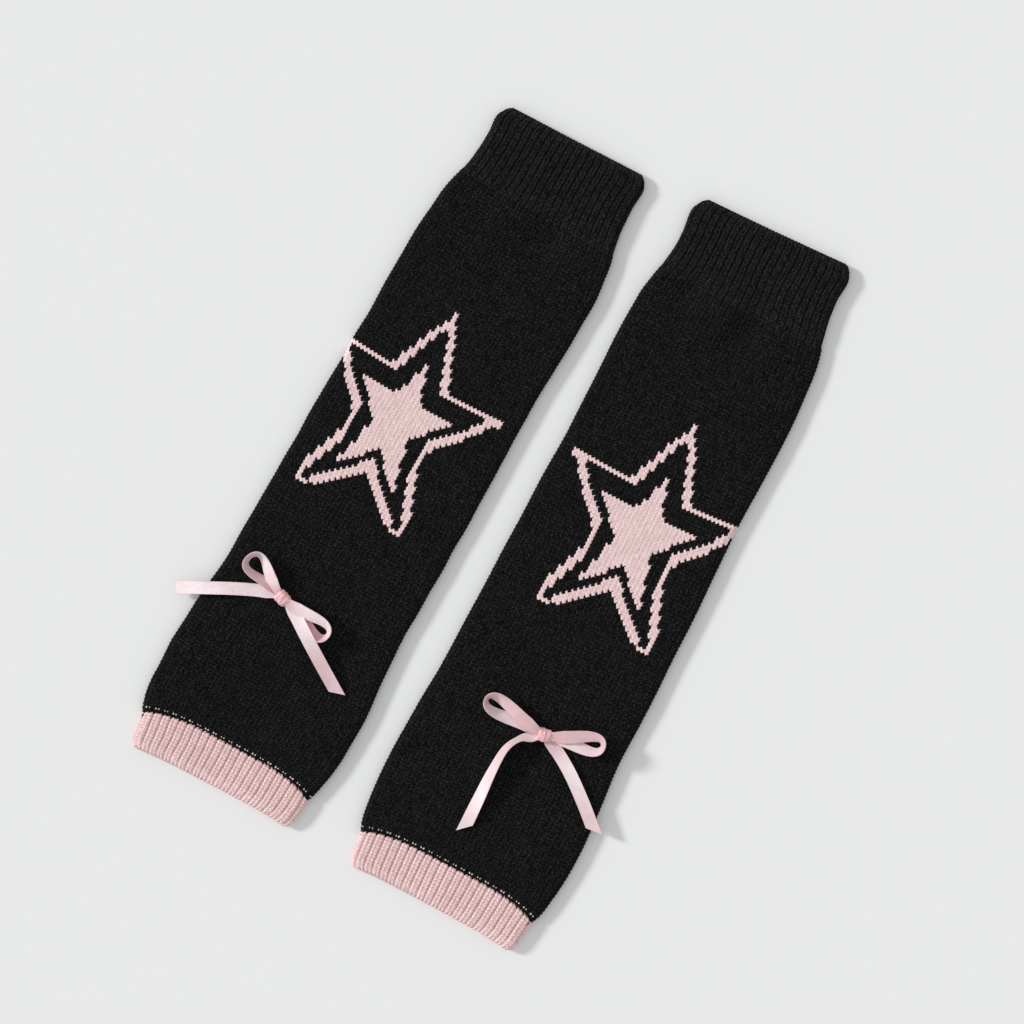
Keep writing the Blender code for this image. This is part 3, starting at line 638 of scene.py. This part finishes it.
def knit_tube(name, warmer, rings, wall, columns, rows, material, shape, pink=None,
              raised=0.0, free_side=0):
    """A closed shell of knit: the stitched outer skin, a rim, the plain inner skin and a rim.

    Each skin follows a flattened ring. The shape works out, for an outer row and column, how
    far the stitch's point is shifted along the tube and raised out of it. A furrow sways from
    side to side as a cosine of the place in its row. The free side is -1 where the tube's
    start is an open edge, 1 where its end is one, and 0 where neither is. Near that edge the
    front comes down, and the corners are rounded by a quarter circle that fades with the rows.
    """
    share, wale, leg, slant, column_depth = columns
    along, row, row_depth, pitch = rows
    last = len(along) - 1
    first_end, last_end = along[0], along[last]
    rim = np.arange(1, RIM_STEPS) / RIM_STEPS
    inner = first_end + (last_end - first_end) * np.linspace(1, 0, INNER_ROWS)
    # How far each row of the grid is through the wall, from 0 on the outer skin to 1 inside.
    skin = np.concatenate([np.zeros(last + 1), rim, np.ones(INNER_ROWS), rim[::-1]])[:, None]
    base = np.concatenate([along, np.full(len(rim), last_end), inner,
                           np.full(len(rim), first_end)])[:, None]
    unstitched = len(base) - last - 1
    stitched = (np.arange(len(base)) <= last)[:, None]
    depth = np.concatenate([row_depth, np.ones(unstitched)])[:, None]
    shift, lift = shape(base, share[None], column_depth[None], depth, wale[None])
    at = base + np.where(stitched, pitch * SLANT * slant[None], 0.0) + shift * (1 - skin)
    lift = (lift + chance.normal(0.0, UNEVEN, at.shape)) * (1 - skin)
    place_in_row = np.concatenate([row, np.zeros(unstitched)])[:, None] % 1
    sway = TOOTH * np.cos(2 * pi * place_in_row) * stitched * (column_depth[None] == 1)
    rim_side = np.where(base > (first_end + last_end) / 2, 1, -1)
    rim_swell = rim_side * np.sin(pi * skin) * wall / 2
    half_width, middle, lead, skew = table_curves(rings, at)
    to_free = np.abs(at - (last_end if free_side > 0 else first_end))
    thin = abs(free_side) * EDGE_THINNING * near(to_free, EDGE_REACH)
    thick = 2 * wall + SLIT
    own_half = half_width - raised - wall * skin
    x, z, out_x, out_z = flattened_ring(
        share[None] + sway / FRONT_WALES, own_half, wall * skin, thick - thin - wall * skin,
        FOLD_REACH + (INNER_FOLD_REACH - FOLD_REACH) * skin)
    from_side = np.clip((own_half - np.abs(x)) / CORNER_RADIUS, 0, 1)
    drawn_in = CORNER_RADIUS * (1 - (1 - (1 - from_side) ** 2) ** 0.5)
    # Under the tube nothing is raised, so that it lies flat.
    x = x + np.where(out_z < 0, lift * (1 + out_z), lift) * out_x
    z = z + np.where(out_z < 0, np.minimum(lift, 0.0), lift) * out_z
    aside = np.minimum(1.0, np.abs(x) / half_width)
    y = at + rim_swell + row_ahead(x, half_width, lead, skew)
    x = x + middle
    y = y - free_side * drawn_in * near(to_free, CORNER_REACH)
    y = y + ROW_BEND * aside ** 2 * np.exp(-((at - ROW_BEND_ALONG) / ROW_BEND_REACH) ** 2)
    rise = fold_rise(warmer.folds, x, y) + wobble(x, y, SWAY_HEIGHT, SWAY_LENGTH)
    z = z + rise * np.clip(2 * z / thick - 1, 0, 1)
    x = x + wobble(x, y, DRIFT_WIDTH, DRIFT_LENGTH)
    points = placed(warmer, np.stack([x, y, np.maximum(z, 0.0)], axis=-1))
    # Painted shade in the furrows, less at a free edge, and a fixed share on the rims and inner
    # skin.
    painted_wale_shade = column_depth[None] * (COLUMN_SHADE + (1 - COLUMN_SHADE) * depth)
    sunk = np.where(stitched, np.maximum(painted_wale_shade, depth * ROW_SHADE), RIM_PAINTED_SHADE)
    sunk = sunk * (1 - EDGE_SHADE * thin / EDGE_THINNING)
    row_edges = np.concatenate([row, row[-1] + 1 + np.arange(unstitched + 1)])
    column_edges = np.append(wale, wale[0] + np.floor(wale[-1]) + 1)
    faces = np.zeros((len(base), len(wale)))
    if pink is not None:
        faces[:last] = pink(row[:-1], wale)
    tones = chance.uniform(-1.0, 1.0, (len(base), leg.max() + 1))
    tone = tones[np.floor(row_edges[:-1]).astype(int)][:, leg]
    return grid_piece(name, points, material, True, True,
                      ("stitches", column_edges, row_edges), {"pink": faces, "tone": tone},
                      {"depth": sunk})


# ---- the knitted-in star ----

# The right half of each outline, counted from the star's middle stitch in wales and rows: its
# corners from the tip down to the fork between the feet, which are cut off plumb and level.
Corner = namedtuple("Corner", "wales rows")
LARGE_STAR = [Corner(*pair) for pair in (
    (0, 31.6), (0.9, 28.9), (1.2, 28.9), (4.25, 21), (7.4, 12.1),       # the tip
    (22.3, 12.9), (21.3, 11), (19.5, 10), (17.2, 6.6),                  # the arm
    (9.4, -2.8), (9.2, -5.5),                                           # the waist
    (13.4, -18.8), (13.4, -24.5), (11.2, -24.5), (8.4, -23.2), (0, -14.2))]
HOLLOW_STAR = [Corner(*pair) for pair in (
    (0, 26.9), (0.7, 26.2), (5.8, 11.1),
    (18.6, 11.9), (14.8, 6.5),
    (8.4, -0.1), (8.1, -8.2),
    (12.2, -21.2), (12.2, -23.4), (11.3, -23.4), (0, -10.7))]
SMALL_STAR = [Corner(*pair) for pair in (
    (0, 16.9), (1.2, 12.8), (2.1, 9.4), (3.6, 6.6),
    (11.7, 6.6), (4.4, -2.2),
    (7.5, -15.5), (6.8, -15.5), (0, -7.6))]


def in_star(corners, wales, rows):
    """Whether stitches lie in a star: a line that runs out from one crosses an odd number of
    the half outline's sides."""
    inside = np.zeros(np.broadcast(wales, rows).shape, dtype=bool)
    for first, second in zip(corners, corners[1:]):
        crossed = (first.rows > rows) != (second.rows > rows)
        rise = second.rows - first.rows
        if rise:
            edge = first.wales + (rows - first.rows) * (second.wales - first.wales) / rise
            inside ^= crossed & (wales < edge)
    return inside


def star_stitches(warmer):
    """Which stitches are pink: a small star within the outline of a large one."""
    def pink(row, wale):
        around = FRONT_WALES + UNDER_WALES
        wales = np.floor(wale) - warmer.star.wale
        wales = np.abs((wales + around / 2) % around - around / 2)[None]
        rows = (np.floor(row) - warmer.star.row)[:, None]
        outline = in_star(LARGE_STAR, wales, rows) & ~in_star(HOLLOW_STAR, wales, rows)
        return (outline | in_star(SMALL_STAR, wales, rows)).astype(float)

    return pink


# ---- the three lengths of each leg warmer ----

def body_shape(start, end):
    """Plain stitches, sunk a little where the hem's ribs lie over them, and more at the two
    folds. Near the cuff every other furrow is deeper, by a share that fades as a power of e:
    there its ribs begin."""
    def shape(base, share, column_depth, row_depth, wale):
        near_hem = near(base - start - HEM_LEVEL, HEM_OVERLAP)
        sink = WALE_DEPTH * column_depth + ROW_DEPTH * row_depth * (1 - 0.5 * column_depth)
        between_ribs = np.maximum(0, 1 - 2 * np.abs((wale + 1) % 2 - 1)) * (share <= 1.0)
        fade = np.exp((base - end) / BODY_RIB_FADE)
        from_fold = np.minimum(np.abs(share), np.abs(share - 1))
        dip = HEM_DIP + HEM_SIDE_DIP * near(from_fold, HEM_SIDE)
        return 0.0 * base, -sink - dip * near_hem - BODY_RIB * between_ribs * fade
    return shape


def rib_shape(start, end, seam_end):
    """Ribs: two strands out over a furrow.

    At the hem's seam their ends are rounded, one by one: a strand reaches less far by the
    square of its distance from the wale's middle. From the cuff's seam they rise out of the
    body. At the free edge each wale stands out in a small knob.
    """
    def shape(base, share, column_depth, row_depth, wale):
        front = share <= 1.0
        seam, free, outwards = (end, start, -1) if seam_end else (start, end, 1)
        to_seam, to_free = np.abs(base - seam), np.abs(base - free)
        furrow = (RIB_RAISE + RIB_FURROW) * column_depth
        crest = RIB_RAISE
        in_wale = 2 * wale % 1
        from_middle = np.abs(2 * in_wale - 1)
        if seam_end:
            near_end = near(to_seam, RIB_END_CURVE)
            shift = (0.4 - 0.7 * from_middle ** 2 - 0.4 * column_depth) * near_end
            furrow = furrow + SEAM_FURROW * column_depth * near_end
            end_dip = HEM_END_DIP
        else:
            flat = near(to_seam, CUFF_FADE)
            shift = 0.0 * base
            furrow = furrow * (1 - 0.5 * flat)
            crest = RIB_RAISE + (CUFF_STEP - RIB_RAISE) * flat
            end_dip = CUFF_END_DIP
        knob = EDGE_KNOB * (0.4 - from_middle) * near(to_free, KNOB_REACH)
        shift = np.where(front, shift + outwards * knob, 0.0)
        top = crest - furrow * (1 - EDGE_FILLING * near(to_free, EDGE_FILLING_REACH))
        stitch = RIB_ROW_DEPTH * row_depth * (1 - 0.6 * column_depth)
        lift = np.where(front, top - stitch, -UNDER_FURROW * column_depth)
        return shift, lift - end_dip * near(to_seam, END_DIP_REACH)
    return shape


def add_tubes(warmer):
    """The hem, body and cuff of a leg warmer, in that order."""
    hem_start, seam = warmer.hem[0].along, warmer.hem[-1].along
    top_seam, top = warmer.cuff[0].along, warmer.cuff[-1].along
    rim = RIB_WALL / 2
    moved = warmer.star.wales_moved / FRONT_WALES
    plain = knit_columns(PLAIN_WALE, FRONT_WALES, UNDER_WALES, moved)
    ribbed = knit_columns(RIB, FRONT_RIBS, UNDER_RIBS, moved)
    hem = knit_tube(
        warmer.name + "_hem_knit", warmer, warmer.hem, RIB_WALL, ribbed,
        knit_rows(hem_start + rim, seam, RIB_ROW, RIB_STEPS), PINK_KNIT,
        rib_shape(hem_start + rim, seam, True), raised=RIB_RAISE / 2,
        free_side=-1)
    body = knit_tube(
        warmer.name + "_body_knit", warmer, warmer.body, BODY_WALL, plain,
        knit_rows(seam - HEM_OVERLAP, top_seam, warmer.star.row_height, PLAIN_STEPS), BLACK_KNIT,
        body_shape(seam - HEM_OVERLAP, top_seam), pink=star_stitches(warmer))
    cuff = knit_tube(
        warmer.name + "_cuff_knit", warmer, warmer.cuff, RIB_WALL, ribbed,
        knit_rows(top_seam - CUFF_OVERLAP, top - rim, RIB_ROW, RIB_STEPS), BLACK_KNIT,
        rib_shape(top_seam - CUFF_OVERLAP, top - rim, False), raised=RIB_RAISE,
        free_side=1)
    return hem, body, cuff


# ---- the row of pale stitches above the hem ----

DOT_ABOVE = 2.6  # over the end of the hem's solid
DOT_LENGTH = 1.15
DOT_WIDTH = 0.95
DOT_DEPTH = 0.34
DOT_SUNK = 0.16  # into the cloth
DOT_LEAN = 0.2  # outwards, for each unit along
DOT_APART = 0.155  # of a dot from the middle of its rib, as a share of the rib
DOT_SIZES = (0.6, 1.1)
DOT_ROUND = 8
DOT_STATIONS = 7


def joined(name, parts):
    """Several surfaces as one piece."""
    with bpy.context.temp_override(active_object=parts[0], selected_editable_objects=parts):
        bpy.ops.object.join()
    parts[0].name = name
    parts[0].data.name = name
    return parts[0]


def add_join_stitches(warmer):
    """Two dots of pale yarn over each rib, each a closed spindle of a slightly uneven size.

    A spindle's width is a power of the sine of the distance along it.
    """
    at = warmer.hem[-1].along + DOT_ABOVE
    half, middle, lead, skew = table_curves(warmer.body, at)
    thick = 2 * BODY_WALL + SLIT
    moved = warmer.star.wales_moved / FRONT_WALES
    angle = np.linspace(0, 2 * pi, DOT_ROUND, endpoint=False)[None]
    share_along = np.linspace(0, 1, DOT_STATIONS)[:, None]
    swell = np.sin(pi * share_along) ** 0.6
    dots = []
    for rib in range(FRONT_RIBS):
        for side in (-1, 1):
            share = np.array((rib + 0.5 + DOT_APART * side) / FRONT_RIBS + moved)
            x, z, out_x, out_z = flattened_ring(share, half, 0.0, thick, FOLD_REACH)
            size = chance.uniform(*DOT_SIZES)
            along = size * DOT_LENGTH * (share_along - 0.5) + 0 * angle
            across = side * DOT_LEAN * along + size * DOT_WIDTH / 2 * swell * np.cos(angle)
            out = DOT_DEPTH * swell * np.sin(angle) - DOT_SUNK
            dot_x = x + middle + out_z * across + out_x * out
            dot_y = at + row_ahead(x, half, lead, skew) + along
            dot_z = z - out_x * across + out_z * out
            dot_z = dot_z + fold_rise(warmer.folds, dot_x, dot_y) * max(0, 2 * z / thick - 1)
            if out_z > -0.5:
                dots.append(placed(warmer, np.stack([dot_x, dot_y, dot_z], axis=-1)))
    name = warmer.name + "_join_stitches"
    return joined(name, [grid_piece(f"{name}_{number}", dot, PALE_KNIT, columns_meet=True)
                         for number, dot in enumerate(dots)])


# ---- the ribbon ----

RIBBON_THICK = 0.36
ACROSS_POINTS = 13
LOOP_STATIONS = 90
TAIL_STATIONS = 80
CURL = 0.22  # how far a ribbon's edges turn up from its middle
PLEAT = 0.42  # height of the pleats that the knot gathers
PLEAT_FADE = 5.0  # over this distance from the knot
PLEAT_WAVE = 3.5  # half waves of the pleats from a ribbon's middle to its edge
GATHER_FADE = 7.0  # the same for the painted shade that makes the loops pinker near the knot
GATHER_SHADE = 0.8
CUT_FROM = 0.8  # the share of a tail's run where the slant of its cut sets in
INTO_KNOT = 3.2  # how far a loop's ends run on into the knot
INSIDE_WIDTH = 3.6  # of a loop in there
LEAD_IN_STATIONS = 8  # of a tail, from inside the knot to its first station
LEAD_IN_FROM = 0.25  # the share of the way to that station at which it starts
LEAD_IN_HEIGHT = 0.3  # of the knot's height
TAIL_WIDTHS = ([0, 3, 8], [3.4, 5.2, RIBBON_WIDTH])  # distances along, and widths there


def run_along(centres):
    """How far along its path each centre lies."""
    return np.append(0.0, np.cumsum(np.linalg.norm(np.diff(centres, axis=0), axis=1)))


def ribbon_piece(name, warmer, centres, rolls, widths, from_knot, shade, cut=0.0):
    """A ribbon along its centres, its line across turned by the roll and square to the path.

    It is cupped: its edges stand up as the square of their distance from its middle. Close to
    the knot it is pleated: a cosine across it, which fades with the distance from the knot.
    The cut makes the last end slant, its left edge longer than its right one.
    """
    ahead = np.gradient(centres, axis=0)
    ahead /= np.linalg.norm(ahead, axis=1, keepdims=True)
    level = np.stack([-ahead[:, 1], ahead[:, 0], np.zeros(len(ahead))], axis=1)
    level /= np.linalg.norm(level, axis=1, keepdims=True)
    up = np.cross(ahead, level)
    turn_cos, turn_sin = np.cos(rolls)[:, None], np.sin(rolls)[:, None]
    across = level * turn_cos + up * turn_sin
    face = up * turn_cos - level * turn_sin
    side = np.linspace(1, -1, ACROSS_POINTS)[None, :]
    gathered = np.exp(-from_knot / PLEAT_FADE)[:, None]
    off = (CURL * (side ** 2 - 0.4) * (1 - gathered)
           + PLEAT * gathered * np.cos(PLEAT_WAVE * pi * side))
    points = (centres[:, None] + across[:, None] * (side * widths[:, None] / 2)[..., None]
              + face[:, None] * off[..., None])
    if cut:
        run = np.arange(len(centres)) / (len(centres) - 1)
        slant = -side * cut / 2 * (ease((run - CUT_FROM) / (1 - CUT_FROM)) ** 2)[:, None]
        points[..., :2] += slant[..., None] * -ahead[:, None, :2]
    piece = grid_piece(name, placed(warmer, points), SATIN_FACE,
                       uv=("ribbon", np.linspace(0, 1, ACROSS_POINTS), run_along(centres)),
                       point_values={"shade": shade[:, None] + 0 * side})
    piece.data.materials.append(SATIN_REVERSE_SHADED)
    return thickened(piece, RIBBON_THICK)


def thickened(piece, thickness):
    """The piece with a wall, half to each side, its reverse in its second material."""
    wall = piece.modifiers.new("wall", "SOLIDIFY")
    wall.thickness = thickness * MM
    wall.offset = 0.0
    wall.material_offset = 1
    evaluated = piece.evaluated_get(bpy.context.evaluated_depsgraph_get())
    mesh = bpy.data.meshes.new_from_object(evaluated)
    piece.modifiers.clear()
    piece.data = mesh
    mesh.name = piece.name
    mesh.set_sharp_from_angle(angle=radians(50))
    return piece


def front_height(warmer, across, along):
    """Height of the plain front over a point of the leg warmer's own frame."""
    return 2 * BODY_WALL + SLIT + fold_rise(warmer.folds[:SOLID_FOLDS], across, along)


def knot_ground(warmer):
    """Height of the plain front under the knot."""
    return front_height(warmer, warmer.knot.across, warmer.knot.along)


def add_loop(warmer, part, loop):
    """A ribbon loop. Round it, the distance from the knot goes out and back as a sine, the
    sideways bulge as that sine times another twice as fast, and the twist gives the rest."""
    share = np.linspace(0, 1, LOOP_STATIONS)
    start = KNOT_LENGTH / 2 + KNOT_CLEAR
    inside = start - INTO_KNOT
    out = inside + (loop.length - inside) * np.sin(pi * share)
    bulge = loop.opening * np.sin(2 * pi * share) * np.sin(pi * share) / WIDEST_BULGE
    heading = radians(loop.heading)
    side = heading + loop.side * pi / 2
    across = warmer.knot.across + out * cos(heading) + bulge * cos(side)
    along = warmer.knot.along + out * sin(heading) + bulge * sin(side)
    roll, height, shade = smooth_columns(loop.twist, LOOP_STATIONS)
    shade = np.maximum(shade, GATHER_SHADE * np.exp((inside - out) / GATHER_FADE))
    centres = np.stack([across, along, knot_ground(warmer) + height], axis=1)
    widths = np.interp(out, [inside, start, 2 * start],
                       [INSIDE_WIDTH, GATHERED_WIDTH, RIBBON_WIDTH])
    return ribbon_piece(f"{warmer.name}_{part}", warmer, centres,
                        -loop.side * np.radians(roll), widths, out - inside, shade)


def add_tail(warmer, part, cut, rows):
    """A ribbon tail through its stations, from inside the knot to its cut end."""
    across, along, lift, roll, shade = smooth_columns(rows, TAIL_STATIONS)
    roll = np.radians(roll)
    edge_drop = RIBBON_WIDTH / 2 * np.abs(np.sin(roll)) + RIBBON_HALF_DEPTH
    centres = np.stack([across, along, front_height(warmer, across, along) + lift + edge_drop],
                       axis=1)
    knot = np.array([warmer.knot.across, warmer.knot.along,
                     knot_ground(warmer) + CLOTH_CLEAR + LEAD_IN_HEIGHT * KNOT_HEIGHT])
    lead_in = np.linspace(0, 1, LEAD_IN_STATIONS, endpoint=False)[:, None]
    first = knot + LEAD_IN_FROM * (centres[0] - knot)
    centres = np.vstack([first + (centres[0] - first) * lead_in, centres])
    rolls = np.append(np.full(LEAD_IN_STATIONS, roll[0]), roll)
    shades = np.append(np.full(LEAD_IN_STATIONS, shade[0]), shade)
    run = run_along(centres)
    widths = np.interp(run, *TAIL_WIDTHS)
    return ribbon_piece(f"{warmer.name}_{part}", warmer, centres, rolls, widths, run, shades,
                        cut)


KNOT_AROUND = 72
KNOT_STATIONS = 41
KNOT_PLEATS = 3
KNOT_PLEAT = 0.030  # height of the pleats and of the finer ones between them, as shares
KNOT_FINE_PLEAT = 0.025  # of the knot's radius
KNOT_WAIST = 0.07  # how much it is drawn in at its waist
KNOT_TURNS = 3  # of the ribbon's pattern round it


def add_knot(warmer):
    """The knot: a ribbon wrapped round the middle, as a closed barrel of oval section.

    Its radius is full over the middle and rounds off to its two ends, with pleats that run
    round it: two cosines along the barrel whose phases drift with the angle. It is drawn in a
    little at its waist, and leans.
    """
    along = np.linspace(-1, 1, KNOT_STATIONS)[:, None]
    angle = np.linspace(0, 2 * pi, KNOT_AROUND, endpoint=False)[None]
    barrel = (1 - np.abs(along) ** 3.2) ** 0.5 * (1 - 0.10 * along ** 2)
    drift = 1.3 * np.sin(angle + 0.7) + 0.8 * np.sin(2 * angle + warmer.knot.turn)
    pleats = (KNOT_PLEAT * np.cos(KNOT_PLEATS * pi * along + drift)
              + KNOT_FINE_PLEAT * np.cos(1.7 * KNOT_PLEATS * pi * along - 1.5 * drift)
              + wobble(along * KNOT_LENGTH / 2, np.cos(angle) * KNOT_WIDTH / 2, 0.06, 6.0))
    waist = 1.0 - KNOT_WAIST * np.cos(pi * along) * np.cos(angle) ** 2
    radius = barrel * (1 + pleats * (1 - along ** 2)) * waist
    x = along * KNOT_LENGTH / 2 * (1 + 0.06 * np.cos(angle)) + 0.5 * np.sin(angle) * barrel
    y = radius * np.cos(angle) * KNOT_WIDTH / 2
    z = radius * np.sin(angle) * KNOT_HEIGHT / 2
    turn = radians(warmer.knot.turn)
    height = knot_ground(warmer) + CLOTH_CLEAR + KNOT_HEIGHT / 2
    points = np.stack([warmer.knot.across + x * cos(turn) - y * sin(turn),
                       warmer.knot.along + x * sin(turn) + y * cos(turn), height + z], axis=-1)
    around = np.linspace(0, 1, KNOT_AROUND + 1)
    pattern = ("ribbon", around * KNOT_TURNS, np.linspace(0, KNOT_LENGTH, KNOT_STATIONS))
    return grid_piece(warmer.name + "_knot", placed(warmer, points[::-1]), SATIN_KNOT,
                      columns_meet=True, uv=pattern,
                      point_values={"shade": np.zeros(points.shape[:2])})


# ---- putting the pair together ----

def pale_material():
    """The join's yarn: the pink yarn, nearly white."""
    shader = Shader("pale_yarn", Roughness=0.9, Specular_IOR_Level=0.1)
    fuzz = shader.noise(shader.object_place(), 1900.0, 3.0, 0.6)
    shader.feed("Base Color", shader.mix(fuzz * 0.6, PALE_YARN, JOIN_SHADOW))
    shader.bump(fuzz, 0.4, 0.0002)
    return shader.material


PALE_KNIT = pale_material()


def add_leg_warmer(warmer):
    """All the pieces of one leg warmer, each riding on the part's one body."""
    hem, body, cuff = add_tubes(warmer)
    join = add_join_stitches(warmer)
    knot = add_knot(warmer)
    ribbons = {part: add_loop(warmer, part, loop) for part, loop in warmer.loops.items()}
    for part, (cut, rows) in warmer.tails.items():
        ribbons[part] = add_tail(warmer, part, cut, rows)
    dressed = [("hem", hem, "pink_knit"), ("body", body, "black_knit"),
               ("cuff", cuff, "black_knit"), ("bow_knot", knot, "pink_satin")]
    dressed += [("bow_" + part, piece, "pink_satin") for part, piece in ribbons.items()]
    for node, piece, slot in dressed:
        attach(piece, "root")
        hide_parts(f"{warmer.name}_{node}")
    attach(join, "root")
    # A tube's way round and its length down the middle, with what runs under, are worked out here
    # but not used.
    for piece, rings, extra, under in (
            (hem, warmer.hem, [join], 0.0), (cuff, warmer.cuff, [], CUFF_OVERLAP),
            (body, warmer.body, [knot, *ribbons.values()], HEM_OVERLAP)):
        half = sum(ring.half_width for ring in rings) / len(rings)
        first, last = rings[0], rings[-1]
        length = last.along + last.lead - first.along - first.lead + under
        4 * half * MM
        length * MM
        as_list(extra)


for warmer in PAIR:
    add_leg_warmer(warmer)


# ---- floor, light and camera ----

FLOOR_HALF = 3.0
FLOOR_COLOUR = linear(239, 240, 240)
KEY_ELEVATION = radians(27.3)
KEY_HEADING = radians(186)  # where the key light stands, from +X round to +Y
KEY_SPREAD = radians(9)
KEY_STRENGTH = 2.08
FILL_STRENGTH = 0.637
PHOTO_ROLL = radians(28.5)  # the pair's length leans this far to the picture's right
PICTURE_WIDTH = 552.96  # what the picture spans at the front's height
FRONT_HEIGHT = 6.0
CAMERA_HEIGHT = 1600.0
SENSOR = 36.0
# The picture's middle, from half way between the two hems' middles.
PICTURE_ACROSS = 4.9
PICTURE_ALONG = 209.7


def add_floor():
    points = np.array([[(-1, -1, 0), (1, -1, 0)], [(-1, 1, 0), (1, 1, 0)]]) * FLOOR_HALF
    shader = Shader("pale_floor", Roughness=0.9, Specular_IOR_Level=0.1,
                    Base_Color=FLOOR_COLOUR)
    floor = grid_piece("floor", points.astype(float), shader.material)


def add_light():
    """A wide, low key from the picture's left, and an even fill from all round."""
    lamp = bpy.data.lights.new("key", "SUN")
    lamp.energy = KEY_STRENGTH
    lamp.angle = KEY_SPREAD
    key = bpy.data.objects.new("key", lamp)
    bpy.context.scene.collection.objects.link(key)
    towards = Vector((cos(KEY_HEADING) * cos(KEY_ELEVATION),
                      sin(KEY_HEADING) * cos(KEY_ELEVATION), sin(KEY_ELEVATION)))
    key.rotation_euler = towards.to_track_quat("Z", "Y").to_euler()
    world = bpy.data.worlds.new("fill")
    world.use_nodes = True
    sky = world.node_tree.nodes["Background"].inputs
    sky["Color"].default_value = (1.0, 1.0, 1.0, 1.0)
    sky["Strength"].default_value = FILL_STRENGTH
    bpy.context.scene.world = world


def add_camera():
    """Straight down on the pair, turned as the photo is."""
    hems = [hem_place(warmer) for warmer in PAIR]
    middle = (hems[0] + hems[1]) / 2
    lens = bpy.data.cameras.new("camera")
    lens.sensor_width = SENSOR
    lens.lens = SENSOR * CAMERA_HEIGHT / PICTURE_WIDTH
    camera = bpy.data.objects.new("camera", lens)
    camera.location = (middle.x + PICTURE_ACROSS * MM, middle.y + PICTURE_ALONG * MM,
                       (CAMERA_HEIGHT + FRONT_HEIGHT) * MM)
    camera.rotation_euler = (0.0, 0.0, PHOTO_ROLL)
    bpy.context.scene.collection.objects.link(camera)
    bpy.context.scene.camera = camera


add_floor()
add_light()
add_camera()
bpy.context.scene.view_settings.view_transform = "Standard"
